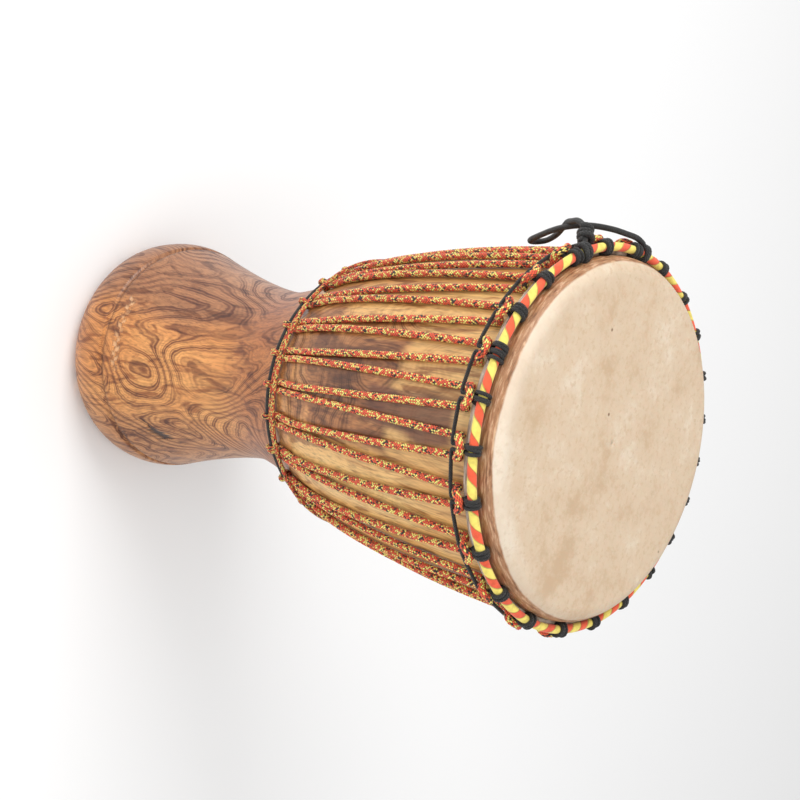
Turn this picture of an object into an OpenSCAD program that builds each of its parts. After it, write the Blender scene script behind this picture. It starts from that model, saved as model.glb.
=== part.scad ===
// Rope-tuned djembe: a goblet drum carved from one log, standing on its foot.
// Origin: centre of the foot's resting face. +Z up, along the drum's axis. Millimetres.

/* [Overall] */
// Height from the resting face to the top of the skin
drum_h = 500; // [420:5:620]
// Diameter of the crown ring, measured to the middle of its rod
crown_d = 264; // [220:2:320]
// Number of hitches round the crown, and of rope pairs down the bowl
hitch_n = 24; // [16:1:28]

/* [Shell] */
// Radius of the foot's outer edge where it meets the floor
foot_end_r = 87.5; // [75:0.5:95]
// Radius at the carved groove, just above the foot's widest place
groove_r = 97; // [85:0.5:110]
// Height of the carved groove
groove_z = 48; // [35:1:60]
// Radius of the stem at its narrowest
stem_r = 70.8; // [62:0.2:80]
// Height of the stem's narrowest place
stem_z = 176; // [150:1:200]
// Radius of the wood behind the waist ring
waist_r = 90.5; // [82:0.5:100]
// Height of the waist ring
waist_z = 259.5; // [230:0.5:290]
// Radius of the throat, the narrow hole between bowl and foot
throat_r = 52; // [40:1:56]
// Radius of the opening in the foot
mouth_r = 74; // [60:1:78]
// Thickness of the bowl's wall under the bearing edge
lip_wall = 13; // [9:0.5:18]
// Width of the rounding over the bearing edge
edge_w = 11; // [7:0.5:12]

/* [Skin and hoops] */
// Thickness of the goat skin
skin_t = 1; // [0.6:0.1:1.6]
// Gap between the skin and the wood it is stretched over
skin_gap = 0.1; // [0.1:0.05:0.4]
// Diameter of the steel rod inside the skin's fold
hoop_rod = 4; // [3:0.2:6]
// Depth of the crown ring below the top of the skin
crown_drop = 13; // [8:0.5:20]
// Diameter of the crown ring's steel rod
crown_rod = 4.4; // [4:0.2:6]
// Thickness of each layer of cloth round the crown ring
cloth_t = 0.35; // [0.2:0.05:0.6]
// Number of red bands round the crown ring
band_n = 48; // [24:1:60]

/* [Ropes] */
// Diameter of the tension rope
rope_d = 5; // [4:0.1:6]
// Diameter of the black loop cord at the crown
cord_d = 2.6; // [2:0.1:3.2]
// Strands lying side by side in one crown hitch
hitch_strands = 3; // [2:1:4]
// Diameter of the red and yellow cord at the waist
lash_d = 3; // [2.4:0.1:3.6]
// Diameter of the waist ring's steel rod
waist_rod = 3.8; // [3:0.2:5]
// Thickness of the black tape round the waist ring
tape_t = 0.35; // [0.2:0.05:0.6]
// Half the width of the rope's turn over a crown hitch
turn_half = 7; // [6:0.25:9]
// Diameter of the carry cord
carry_d = 4.2; // [3:0.1:5]

/* [Hidden] */

$fn = 96;
fit = 0.1;
loose = 0.3;
curve_steps = 10;
rope_sides = 6;

// Crown: the ring's rod, its two layers of cloth, and the fold of skin below it
crown_r = crown_d / 2;
crown_z = drum_h - crown_drop;
yellow_in = crown_rod / 2 + 0.05;
yellow_out = yellow_in + cloth_t;
red_in = yellow_out + 0.05;
red_out = red_in + cloth_t;
hitch_in = red_out + 0.1;
hitch_mid = hitch_in + cord_d / 2;
collar_r = crown_r - hitch_in - cord_d - 2 * fit;
fold_r = hoop_rod / 2 + skin_t;
hoop_r = collar_r + fold_r - skin_t / 2;
hoop_z = crown_z - 5.7;
lip_z = crown_z + 2;
edge_h = drum_h - skin_t - skin_gap - lip_z;
edge_r = collar_r - skin_t - skin_gap - edge_w;
leg_r = hoop_r + fold_r + cord_d / 2 + fit;
leg_top = crown_z - red_out - cord_d - fit;
leg_side = cord_d / 2 + loose;
span_z = crown_z - 17;

// Waist: the ring's rod and tape, with the lashing cord round and above it
ring_stand = 6;
waist_ring_r = waist_r + ring_stand;
tape_in = waist_rod / 2 + 0.05;
tape_out = tape_in + tape_t;
lash_in = tape_out + 0.05;
lash_mid = lash_in + lash_d / 2;

// Angles are counted from +X towards +Y. The hitches were tied by hand, so
// they drift a few degrees from an even spacing round the crown.
first_hitch = 164;
wide_hitch = 6;
drift_once = 2.3;
drift_twice = 3.1;
waist_twist = 2;
function even_angle(i) = first_hitch + i * 360 / hitch_n;
function hitch_angle(i) =
    even_angle(i) + drift_once * sin(even_angle(i) + 7) + drift_twice * sin(2 * even_angle(i) + 27);
function waist_angle(i) = (hitch_angle(i) + hitch_angle(i + 1)) / 2 + waist_twist;
function polar(r, a, z) = [r * cos(a), r * sin(a), z];
function bezier(p, t) =
    pow(1 - t, 3) * p[0] + 3 * t * pow(1 - t, 2) * p[1] + 3 * t * t * (1 - t) * p[2] + pow(t, 3) * p[3];
function curve(p, from = 0) = [for (i = [from:curve_steps]) bezier(p, i / curve_steps)];

// The shell's outline, as smooth curves that share their end points: [radius, height]
bowl_curve = [
    [waist_r, waist_z],
    [waist_r + 19, waist_z + 30],
    [collar_r - 3.5, lip_z - 100],
    [edge_r + edge_w, lip_z]
];
foot_edge = curve([[foot_end_r, 0], [groove_r + 6, 12], [groove_r + 3.8, 38], [groove_r, groove_z]]);
foot_curve = [[groove_r, groove_z], [groove_r - 11, groove_z + 37], [stem_r, stem_z - 36], [stem_r, stem_z]];
stem_curve = [[stem_r, stem_z], [stem_r, stem_z + 20], [waist_r - 8.5, waist_z - 30], [waist_r, waist_z]];
foot_side = curve(foot_curve, 1);
stem_side = curve(stem_curve, 1);
bowl_side = curve(bowl_curve, 1);
bearing_edge = [for (a = [15:15:90]) [edge_r + edge_w * cos(a), lip_z + edge_h * sin(a)]];
inner_r = collar_r - skin_t - skin_gap - lip_wall;
throat_top = waist_z - 24.5;
throat_end = stem_z + 4;
bowl_inside = curve([
    [inner_r, lip_z],
    [inner_r - 6, lip_z - 160],
    [throat_r + 26, throat_top + 15],
    [throat_r, throat_top]
]);
foot_inside = curve([[throat_r, throat_end], [throat_r, throat_end - 60], [mouth_r - 2, 70], [mouth_r, 0]]);

// Radius of the wood at a height on the bowl, found along the bowl's curve
bowl_points = [for (i = [0:60]) bezier(bowl_curve, i / 60)];
function wood_r(z) = lookup(z, [for (p = bowl_points) [p[1], p[0]]]);

module shell_profile() {
    polygon(concat(
        foot_edge,
        foot_side,
        stem_side,
        bowl_side,
        bearing_edge,
        [[inner_r, lip_z + edge_h]],
        bowl_inside,
        foot_inside
    ));
}

// One shallow chip of the carved zigzag, cut with a knife held at an angle
module chip(angle, z, lean) {
    translate(polar(groove_r - 4.4, angle, z))
        rotate([0, 0, angle])
            rotate([lean, 0, 0])
                rotate([0, 45, 0])
                    cube([1.7, 6.5, 1.7], center = true);
}

module shell() {
    color("peru") difference() {
        rotate_extrude() shell_profile();
        translate([0, 0, groove_z])
            rotate_extrude() translate([groove_r + 1.2, 0]) circle(r = 2.6, $fn = 32);
        for (i = [0:7]) {
            chip(-114 + 5 * i, groove_z + 12, 40);
            chip(-111.5 + 5 * i, groove_z + 12, -40);
        }
    }
}

// Half of the skin's outline over the bearing edge, inset by t from its outer face
function skin_curve(t, angles) = [
    for (a = angles) [edge_r + (collar_r - t - edge_r) * cos(a), lip_z + (drum_h - t - lip_z) * sin(a)]
];

module drum_skin() {
    color("wheat") rotate_extrude() difference() {
        union() {
            polygon(concat(
                [[collar_r, hoop_z]],
                skin_curve(0, [0:7.5:90]),
                [[0, drum_h], [0, drum_h - skin_t]],
                skin_curve(skin_t, [90:-7.5:0]),
                [[collar_r - skin_t, hoop_z]]
            ));
            translate([hoop_r, hoop_z])
                circle(r = fold_r, $fn = 48);
        }
        translate([hoop_r, hoop_z])
            circle(r = hoop_rod / 2 + 0.05, $fn = 48);
    }
}

// A round rod bent into a ring about the axis
module ring(r, z, outer, inner = 0) {
    translate([0, 0, z]) rotate_extrude() translate([r, 0]) difference() {
        circle(r = outer, $fn = 48);
        if (inner > 0) circle(r = inner, $fn = 48);
    }
}

module flesh_hoop() {
    color("silver") ring(hoop_r, hoop_z, hoop_rod / 2);
}

module crown_ring() {
    color("silver") ring(crown_r, crown_z, crown_rod / 2);
}

module crown_wrap_yellow() {
    color("khaki") ring(crown_r, crown_z, yellow_out, yellow_in);
}

module crown_wrap_red() {
    band = 360 / band_n;
    color("tomato") for (i = [0:band_n - 1])
        translate([0, 0, crown_z]) rotate([0, 0, i * band]) rotate_extrude(angle = band * 0.4)
            translate([crown_r, 0]) difference() {
                circle(r = red_out, $fn = 48);
                circle(r = red_in, $fn = 48);
            }
}

// Strands side by side round a ring's rod, open where they are pressed flat against
// what lies behind: the sweep starts at from and turns through sweep degrees
module hitch(r, angle, z, mid, d, strands, from, sweep) {
    translate(polar(r, angle, z)) rotate([90, 0, angle]) rotate([0, 0, from])
        rotate_extrude(angle = sweep)
            for (k = [0:strands - 1])
                translate([mid, (k - (strands - 1) / 2) * (d - 0.1)]) circle(r = d / 2, $fn = 32);
}

module crown_hitches() {
    color("black") for (i = [0:hitch_n - 1])
        hitch(crown_r, hitch_angle(i), crown_z, hitch_mid, cord_d,
              hitch_strands + (i == wide_hitch ? 2 : 0), -84, 296);
}

// A straight length of cord from a to b
module strand(a, b, d) {
    v = b - a;
    translate(a) rotate([0, acos(v[2] / norm(v)), atan2(v[1], v[0])]) cylinder(d = d, h = norm(v));
}

// The cord's bend where two straight lengths meet, a hair fatter than the cord
module bend(p, d) {
    translate(p) sphere(d = d * 1.08);
}

function side_angle(side, r) = side / r * 180 / PI;

// Each loop hangs from one hitch, runs to the next and climbs back to it
module crown_loops() {
    swing = side_angle(leg_side, leg_r);
    color("black") for (i = [0:hitch_n - 1]) {
        a = hitch_angle(i) + swing;
        b = hitch_angle(i + 1) - swing;
        strand(polar(leg_r, a, span_z), polar(leg_r, a, leg_top), cord_d);
        strand(polar(leg_r, a, span_z), polar(leg_r, b, span_z), cord_d);
        strand(polar(leg_r, b, span_z), polar(leg_r, b, leg_top), cord_d);
        bend(polar(leg_r, a, span_z), cord_d);
        bend(polar(leg_r, b, span_z), cord_d);
    }
}

// Half of one turn of the tension rope: [sideways, radius, height], from the middle of
// the turn over a crown hitch, in behind the loop and down to where the pair meets
turn_r = leg_r + (cord_d + rope_d) / 2 + fit;
span_r = leg_r * cos(180 / hitch_n);
tuck_r = span_r - (cord_d + rope_d) / 2 - 0.4;
turn_points = [
    [turn_half * 0.68, turn_r, crown_z - 8],
    [turn_half, turn_r - 2.3, crown_z - 11],
    [turn_half + 0.4, tuck_r + 1.8, span_z + 4.2],
    [turn_half + 0.2, tuck_r, span_z - 0.5]
];
pair_z = waist_z + 40.5;
pair_half = rope_d / 2 + 0.4;
foot_turn_z = waist_z + lash_in + lash_d + rope_d / 2 + loose;
stand = rope_d / 2 + 2 * loose;
function rope_r(z) = wood_r(z) + stand;
down_heights = [for (z = [crown_z - 30:-33:pair_z + 20]) z];

// The rope's route from crown hitch i, down to the waist, and up to hitch i + 1
function down_share(z) = min(1, (crown_z - 20 - z) / (crown_z - 20 - pair_z));
function leg_angle(top, foot, side_top, side_foot, z) =
    let (share = down_share(z))
        (top + side_angle(side_top, crown_r)) * (1 - share)
        + (foot + side_angle(side_foot, wood_r(z))) * share;
function down_leg(top, foot, s) = concat(
    [for (p = turn_points) polar(p[1], top + side_angle(s * p[0], p[1]), p[2])],
    [for (z = down_heights) polar(rope_r(z), leg_angle(top, foot, s * turn_half, -s * pair_half, z), z)],
    [for (z = [pair_z, (pair_z + foot_turn_z) / 2 + 2, foot_turn_z + 4])
        polar(rope_r(z), foot + side_angle(-s * pair_half, rope_r(z)), z)]
);
function reversed(list) = [for (i = [len(list) - 1:-1:0]) list[i]];
function rope_part(i) =
    let (top = hitch_angle(i), foot = waist_angle(i), next = hitch_angle(i + 1)) concat(
        [polar(turn_r, top, crown_z - 6.5)],
        down_leg(top, foot, 1),
        [polar(rope_r(foot_turn_z), foot, foot_turn_z)],
        reversed(down_leg(next, foot, -1))
    );
rope_route = [for (i = [0:hitch_n - 1]) each rope_part(i)];

// One ring of points round a route, square to it, with its first point outwards
function away(p) = [p[0], p[1], 0] / norm([p[0], p[1]]);
function ring_points(p, along, r, sides) =
    let (
        t = along / norm(along),
        out = away(p) - (away(p) * t) * t,
        n = out / norm(out),
        b = cross(t, n)
    ) [for (k = [0:sides - 1]) p + r * cos(360 * k / sides) * n + r * sin(360 * k / sides) * b];
function quad_faces(rings, sides, wrap) = [
    for (j = [0:rings - (wrap ? 1 : 2)], k = [0:sides - 1])
        let (a = j * sides, b = ((j + 1) % rings) * sides, k2 = (k + 1) % sides)
            each [[a + k, a + k2, b + k2], [a + k, b + k2, b + k]]
];

module closed_tube(route, d, sides) {
    n = len(route);
    polyhedron(
        points = [for (j = [0:n - 1])
            each ring_points(route[j], route[(j + 1) % n] - route[(j + n - 1) % n], d / 2, sides)],
        faces = quad_faces(n, sides, true)
    );
}

module open_tube(route, d, sides) {
    n = len(route);
    polyhedron(
        points = [for (j = [0:n - 1])
            each ring_points(route[j], route[min(j + 1, n - 1)] - route[max(j - 1, 0)], d / 2, sides)],
        faces = concat(
            quad_faces(n, sides, false),
            [[for (k = [sides - 1:-1:0]) k]],
            [[for (k = [0:sides - 1]) (n - 1) * sides + k]]
        )
    );
}

module tension_rope() {
    color("orangered") closed_tube(rope_route, rope_d, rope_sides);
}

// The rope's two ends are tied in a stopper knot over one pair, at the back of the drum
knot_i = 19;
knot_z = waist_z + 46.5;
module rope_end_knot() {
    a = waist_angle(knot_i);
    r = rope_r(knot_z) + rope_d / 2 + rope_d + 1.2;
    color("orangered") translate(polar(r, a, knot_z)) rotate([0, 0, a]) {
        rotate_extrude() for (k = [-1:1])
            translate([rope_d * 0.5, k * rope_d * 0.8]) circle(d = rope_d, $fn = 32);
        for (s = [-1, 1])
            translate([0, 0, s * rope_d]) cylinder(d = rope_d, h = rope_d * 1.6, center = true);
    }
}

module waist_ring() {
    color("silver") ring(waist_ring_r, waist_z, waist_rod / 2);
}

module waist_wrap() {
    color("black") ring(waist_ring_r, waist_z, tape_out, tape_in);
}

module waist_hitches() {
    color("orangered") for (i = [0:hitch_n - 1])
        hitch(waist_ring_r, waist_angle(i), waist_z, lash_mid, lash_d, 2, -150, 250);
}

// The lashing cord: one strand along the ring between hitches, and one round over the rope pairs
module waist_lashing() {
    over_z = foot_turn_z + 5.5;
    over_r = rope_r(over_z) + (rope_d + lash_d) / 2 + loose;
    gap = side_angle(lash_d + fit, waist_ring_r);
    color("orangered") {
        ring(over_r, over_z, lash_d / 2);
        for (i = [0:hitch_n - 1]) {
            a = waist_angle(i) + gap;
            b = waist_angle(i + 1) - gap;
            translate([0, 0, waist_z + lash_mid]) rotate([0, 0, a]) rotate_extrude(angle = b - a)
                translate([waist_ring_r + 1.2, 0]) circle(d = lash_d, $fn = 32);
        }
    }
}

// The carry cord is tied to the crown ring beside hitch 1 and beside hitch 3
carry_from = hitch_angle(1) - 4;
carry_to = hitch_angle(3) - 4;
module carry_hitches() {
    color("black") for (a = [carry_from, carry_to])
        hitch(crown_r, a, crown_z, red_out + 0.05 + carry_d / 2, carry_d, 2, -84, 230);
}

// The carry cord's route, chosen by hand on a crown ring of radius drawn_r: a loop that
// hangs from the ring, lies on the ropes and comes back up to the knot. The third number
// is counted from the ring's height. A wider crown carries the whole route outwards.
carry_points = [
    [-138.5, 8, 0], [-141, 1, -1], [-141.5, -9, -3], [-142, -20, -8], [-141.5, -30, -16],
    [-140, -35, -26], [-138, -34, -39], [-136, -28, -53], [-133.5, -19, -69], [-132, -10, -82],
    [-131.5, -4, -87], [-132.5, 2, -86], [-134.5, 3, -78], [-137.5, -6, -64], [-140.5, -19, -50],
    [-142.5, -31, -38], [-141.5, -41, -27], [-141, -47, -18], [-137.5, -50.5, -10.5],
    [-131, -51.5, -6.5], [-126.5, -54.5, -4], [-123.4, -57.4, -2.6]
];
drawn_r = 132;
carry_route = [for (p = carry_points) [p[0] * crown_r / drawn_r, p[1] * crown_r / drawn_r, p[2] + crown_z]];
carry_knot_at = 19;
module carry_cord() {
    color("black") open_tube(carry_route, carry_d, 8);
}

// The knot near the carry cord's end: three turns wound round the cord
module carry_knot() {
    p = carry_route[carry_knot_at];
    v = carry_route[carry_knot_at + 1] - carry_route[carry_knot_at - 1];
    color("black") translate(p) rotate([0, acos(v[2] / norm(v)), atan2(v[1], v[0])])
        rotate_extrude() for (k = [-1:1])
            translate([carry_d, k * carry_d * 0.9]) circle(d = carry_d, $fn = 32);
}

shell();
drum_skin();
flesh_hoop();
crown_ring();
crown_wrap_yellow();
crown_wrap_red();
crown_hitches();
crown_loops();
tension_rope();
rope_end_knot();
waist_ring();
waist_wrap();
waist_hitches();
waist_lashing();
carry_hitches();
carry_cord();
carry_knot();
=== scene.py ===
# %% [markdown]
# # A rope-tuned djembe
# The drum is one carved log, a goat skin, three steel rings and a lot of rope.

# %% Load the frame
import math
import bpy
import numpy as np
from mathutils import Matrix, Vector


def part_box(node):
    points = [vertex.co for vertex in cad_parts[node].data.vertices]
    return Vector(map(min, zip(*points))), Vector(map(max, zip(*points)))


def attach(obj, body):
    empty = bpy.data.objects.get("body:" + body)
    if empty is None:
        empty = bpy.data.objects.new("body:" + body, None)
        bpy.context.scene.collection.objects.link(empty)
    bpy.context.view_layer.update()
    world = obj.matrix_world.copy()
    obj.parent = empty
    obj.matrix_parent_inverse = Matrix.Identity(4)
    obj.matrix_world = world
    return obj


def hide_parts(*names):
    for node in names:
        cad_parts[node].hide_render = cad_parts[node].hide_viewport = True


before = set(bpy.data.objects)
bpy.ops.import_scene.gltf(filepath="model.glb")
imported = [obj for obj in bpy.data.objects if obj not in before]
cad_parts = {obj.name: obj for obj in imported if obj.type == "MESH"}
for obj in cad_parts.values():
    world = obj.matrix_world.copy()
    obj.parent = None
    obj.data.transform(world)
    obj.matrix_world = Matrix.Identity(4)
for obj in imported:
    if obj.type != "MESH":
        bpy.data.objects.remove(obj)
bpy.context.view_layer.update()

# %% [markdown]
# The rings give every other size. A ring's box is as wide as its circle plus the rod, and as high
# as the rod, so the two together give the circle's radius, its height and the rod's radius.

# %% Read the rings
def ring_of(node):
    low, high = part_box(node)
    rod = (high.z - low.z) / 2
    return high.x - rod, (high.z + low.z) / 2, rod


CROWN_R, CROWN_Z, _ = ring_of("crown_ring")
WAIST_R, WAIST_Z, _ = ring_of("waist_ring")
HOOP_R, HOOP_Z, HOOP_ROD = ring_of("flesh_hoop")
SKIN_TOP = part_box("drum_skin")[1].z
MM = 0.001
print("crown", round(CROWN_R, 4), round(CROWN_Z, 4), "waist", round(WAIST_R, 4), round(WAIST_Z, 4))

# %% [markdown]
# ## The camera
# A drum like this is usually shown lying on its side and seen from above its head. The model stands
# on its foot, so the camera looks down at it and is rolled about its own line of sight instead.

# %% Place the camera
CAMERA_AT = (0, -0.8055, 1.0223)
LOOK_UP, ROLL = 48.24, 101.55
lens = bpy.data.cameras.new("camera")
lens.lens = 63
lens.sensor_width = 36
camera = bpy.data.objects.new("camera", lens)
bpy.context.scene.collection.objects.link(camera)
camera.matrix_world = (
    Matrix.Translation(CAMERA_AT)
    @ Matrix.Rotation(math.radians(LOOK_UP), 4, "X")
    @ Matrix.Rotation(math.radians(ROLL), 4, "Z")
)
bpy.context.scene.camera = camera

# %% [markdown]
# ## Helpers for nodes and colours
# Every material and every Geometry Nodes tree below is built with one small function, which adds a
# node, sets it up and links or fills its inputs. Colours are written as the hex values that a paint
# chart gives and turned to linear values, which light adds up in.

# %% Nodes and colours
def add(tree, kind, inputs=None, out=0, **settings):
    """Adds a node, and returns one of its outputs."""
    made = tree.nodes.new(kind)
    for name, value in settings.items():
        setattr(made, name, value)
    for name, value in (inputs or {}).items():
        if isinstance(value, bpy.types.NodeSocket):
            tree.links.new(value, made.inputs[name])
        else:
            made.inputs[name].default_value = value
    return made.outputs[out] if made.outputs else made


def colour(hexa):
    """A hex colour such as C98A45 as linear red, green, blue and 1."""
    parts = [int(hexa[i:i + 2], 16) / 255 for i in (0, 2, 4)]
    return [p / 12.92 if p <= 0.04045 else ((p + 0.055) / 1.055) ** 2.4 for p in parts] + [1]


def ramp(tree, value, stops, mode="EASE"):
    """A colour ramp with its own stops: [(place, colour or grey), ...]."""
    made = add(tree, "ShaderNodeValToRGB", {"Fac": value}).node
    made.color_ramp.interpolation = mode
    for i, (place, what) in enumerate(stops):
        stop = made.color_ramp.elements[i] if i < 2 else made.color_ramp.elements.new(place)
        stop.position = place
        stop.color = colour(what) if isinstance(what, str) else (what, what, what, 1)
    return made.outputs[0]


def maths(tree, operation, a, b=0.0, c=0.0):
    """One sum or function of up to three values."""
    return add(tree, "ShaderNodeMath", {0: a, 1: b, 2: c}, operation=operation)


def blended(tree, share, low, high, blend="MIX"):
    """Two colours mixed or multiplied: each is a node's output, a colour or a hex value."""
    low, high = (colour(v) if isinstance(v, str) else v for v in (low, high))
    return add(tree, "ShaderNodeMix", {0: share, 6: low, 7: high}, 2, data_type="RGBA", blend_type=blend)


def surface(name, **sockets):
    """A new material with one shader on it: returns the material, its tree and the shader."""
    made = bpy.data.materials.new(name)
    made.use_nodes = True
    shader = made.node_tree.nodes["Principled BSDF"]
    for socket, value in sockets.items():
        shader.inputs[socket.replace("_", " ")].default_value = value
    return made, made.node_tree, shader


# %% [markdown]
# ## A braided cord along a line
# Rope and cord are tubes that follow a path, so one Geometry Nodes tree makes them all. The tube's
# points fall on the braid's own lattice: every second point is the crown of a strand and the ones
# between are the dips, so the tube has a real braid's bumpy outline. A braid of 16 strands shows 8
# going each way round. The tree also stores where each point is on the braid, for the material.

# %% Build the cord tree
def cord_tree():
    tree = bpy.data.node_groups.new("Braided cord along a line", "GeometryNodeTree")
    face = tree.interface
    face.new_socket("Line", in_out="INPUT", socket_type="NodeSocketGeometry")
    for name in ("Radius", "Step", "Relief"):
        face.new_socket(name, in_out="INPUT", socket_type="NodeSocketFloat")
    face.new_socket("Sides", in_out="INPUT", socket_type="NodeSocketInt")
    face.new_socket("Material", in_out="INPUT", socket_type="NodeSocketMaterial")
    face.new_socket("Cord", in_out="OUTPUT", socket_type="NodeSocketGeometry")
    given = tree.nodes.new("NodeGroupInput").outputs
    count = add(tree, "GeometryNodeInputIndex")
    line = add(tree, "GeometryNodeMeshToCurve", {0: given["Line"]})
    line = add(tree, "GeometryNodeResampleCurve", {"Curve": line, "Length": given["Step"]}, mode="LENGTH")
    round_it = add(tree, "GeometryNodeCurvePrimitiveCircle",
                   {"Resolution": given["Sides"], "Radius": given["Radius"]})
    kept = []
    for shape in (line, round_it):
        keep = tree.nodes.new("GeometryNodeCaptureAttribute")
        keep.capture_items.new("FLOAT", "place")
        tree.links.new(shape, keep.inputs[0])
        tree.links.new(count, keep.inputs[1])
        kept.append((keep.outputs[0], keep.outputs[1]))
    (line, along), (round_it, side) = kept
    tube = add(tree, "GeometryNodeCurveToMesh", {"Curve": line, "Profile Curve": round_it, "Fill Caps": True})
    total = maths(tree, "ADD", along, side)
    crown = maths(tree, "FLOORED_MODULO", total, 2.0)
    lift = maths(tree, "MULTIPLY", crown, given["Relief"])
    outwards = add(tree, "GeometryNodeInputNormal")
    push = add(tree, "ShaderNodeVectorMath", {0: outwards, "Scale": lift}, operation="SCALE")
    tube = add(tree, "GeometryNodeSetPosition", {"Geometry": tube, "Offset": push})
    turn = maths(tree, "DIVIDE", side, given["Sides"])
    turn = maths(tree, "MULTIPLY", turn, math.tau)
    east = maths(tree, "COSINE", turn)
    north = maths(tree, "SINE", turn)
    cells = maths(tree, "MULTIPLY", along, 0.5)
    place = add(tree, "ShaderNodeCombineXYZ", {"X": east, "Y": north, "Z": cells})
    tube = add(tree, "GeometryNodeStoreNamedAttribute",
               {"Geometry": tube, "Name": "braid", "Value": place}, data_type="FLOAT_VECTOR", domain="POINT")
    tube = add(tree, "GeometryNodeSetShadeSmooth", {"Geometry": tube})
    tube = add(tree, "GeometryNodeRealizeInstances", {"Geometry": tube})
    tube = add(tree, "GeometryNodeSetMaterial", {"Geometry": tube, "Material": given["Material"]})
    add(tree, "NodeGroupOutput", {"Cord": tube})
    return tree


CORD = cord_tree()


def smooth(points, per=6, closed=False):
    """A flowing line through the given points (a Catmull-Rom spline), per points to each stretch."""
    p = np.array(points, float)
    n = len(p)
    ring = [p[i % n] if closed else p[min(max(i, 0), n - 1)] for i in range(-1, n + 2)]
    t = np.arange(per)[:, None] / per
    out = []
    for i in range(n if closed else n - 1):
        a, b, c, d = ring[i], ring[i + 1], ring[i + 2], ring[i + 3]
        out.append(b + 0.5 * t * (c - a + t * (2 * a - 5 * b + 4 * c - d + t * (3 * (b - c) + d - a))))
    if not closed:
        out.append(p[-1:])
    return np.vstack(out)


def length_of(points):
    return float(np.linalg.norm(np.diff(points, axis=0), axis=1).sum())


def cord_piece(name, lines, radius, step, relief, sides, material, closed=False):
    """One piece made of cords along one or more lines, as a plain mesh."""
    points, edges = [], []
    for line in lines:
        first = len(points)
        points += [tuple(p) for p in line]
        edges += [(k, k + 1) for k in range(first, len(points) - 1)]
        if closed:
            edges.append((len(points) - 1, first))
    mesh = bpy.data.meshes.new(name)
    mesh.from_pydata(points, edges, [])
    piece = bpy.data.objects.new(name, mesh)
    bpy.context.scene.collection.objects.link(piece)
    nodes = piece.modifiers.new("cord", "NODES")
    nodes.node_group = CORD
    sockets = {s.name: s.identifier for s in CORD.interface.items_tree}
    given = {"Radius": radius, "Step": step, "Relief": relief, "Sides": sides, "Material": material}
    for socket, value in given.items():
        nodes[sockets[socket]] = value
    baked = bpy.data.meshes.new_from_object(piece.evaluated_get(bpy.context.evaluated_depsgraph_get()))
    piece.modifiers.clear()
    piece.data = baked
    piece.data.name = name
    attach(piece, "root")
    print(name, len(baked.polygons), "faces")
    return piece


# %% [markdown]
# ## Braid materials
# Polyester rope is braided from yarns of several colours, which shows as rows of small lozenges.
# Each lozenge is a strand that passes over another. The material finds the lozenge from the place
# stored on the tube, gives it the colour of the strand on top, and darkens and lowers its edges.

# %% Build a braid material
def braid_material(name, right_hand, left_hand, gap, **sockets):
    made, tree, shader = surface(name, **sockets)
    place = add(tree, "ShaderNodeAttribute", out="Vector", attribute_name="braid")
    east, north, cells = add(tree, "ShaderNodeSeparateXYZ", {0: place}).node.outputs
    turn = maths(tree, "ARCTAN2", north, east)
    turn = maths(tree, "MULTIPLY", turn, len(right_hand) / math.tau)
    strands = [maths(tree, op, cells, turn) for op in ("ADD", "SUBTRACT")]
    count = [maths(tree, "FLOOR", s) for s in strands]
    arch = []
    for s in strands:
        share = maths(tree, "FRACT", s)
        share = maths(tree, "MULTIPLY", share, math.pi)
        arch.append(maths(tree, "SINE", share))
    total = maths(tree, "ADD", count[0], count[1])
    which = maths(tree, "FLOORED_MODULO", total, 2.0)
    tones, heights = [], []
    # Some yarns roll over as they are braided, so now and then a lozenge shows its neighbour's tone.
    roll = add(tree, "ShaderNodeCombineXYZ", {"X": count[0], "Y": count[1]})
    roll = add(tree, "ShaderNodeTexWhiteNoise", {"Vector": roll}, noise_dimensions="2D")
    roll = maths(tree, "GREATER_THAN", roll, 0.62)
    for k, tints in enumerate((right_hand, left_hand)):
        part = maths(tree, "ADD", count[k], roll)
        part = maths(tree, "FLOORED_MODULO", part, float(len(tints)))
        part = maths(tree, "ADD", part, 0.5)
        part = maths(tree, "DIVIDE", part, float(len(tints)))
        stops = [(i / len(tints), tint) for i, tint in enumerate(tints)]
        tones.append(ramp(tree, part, stops, "CONSTANT"))
        ends = maths(tree, "POWER", arch[1 - k], 0.4)
        heights.append(maths(tree, "MULTIPLY", arch[k], ends))
    tone = blended(tree, which, tones[0], tones[1])
    height = add(tree, "ShaderNodeMix", {0: which, 2: heights[0], 3: heights[1]})
    # The gaps between strands are in shade, and each yarn's fibres vary a little in tone.
    shade = ramp(tree, height, [(0.0, gap), (0.6, 1.0)])
    spot = add(tree, "ShaderNodeTexCoord", out="Object")
    fibre = add(tree, "ShaderNodeTexNoise", {"Vector": spot, "Scale": 900.0, "Detail": 3.0})
    fibre = ramp(tree, fibre, [(0.3, 0.8), (0.6, 1.0)])
    tone = blended(tree, 1.0, tone, shade, "MULTIPLY")
    tone = blended(tree, 1.0, tone, fibre, "MULTIPLY")
    bump = add(tree, "ShaderNodeBump", {"Strength": 0.9, "Distance": 0.5 * MM, "Height": height})
    tree.links.new(tone, shader.inputs["Base Color"])
    tree.links.new(bump, shader.inputs["Normal"])
    return made


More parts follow.
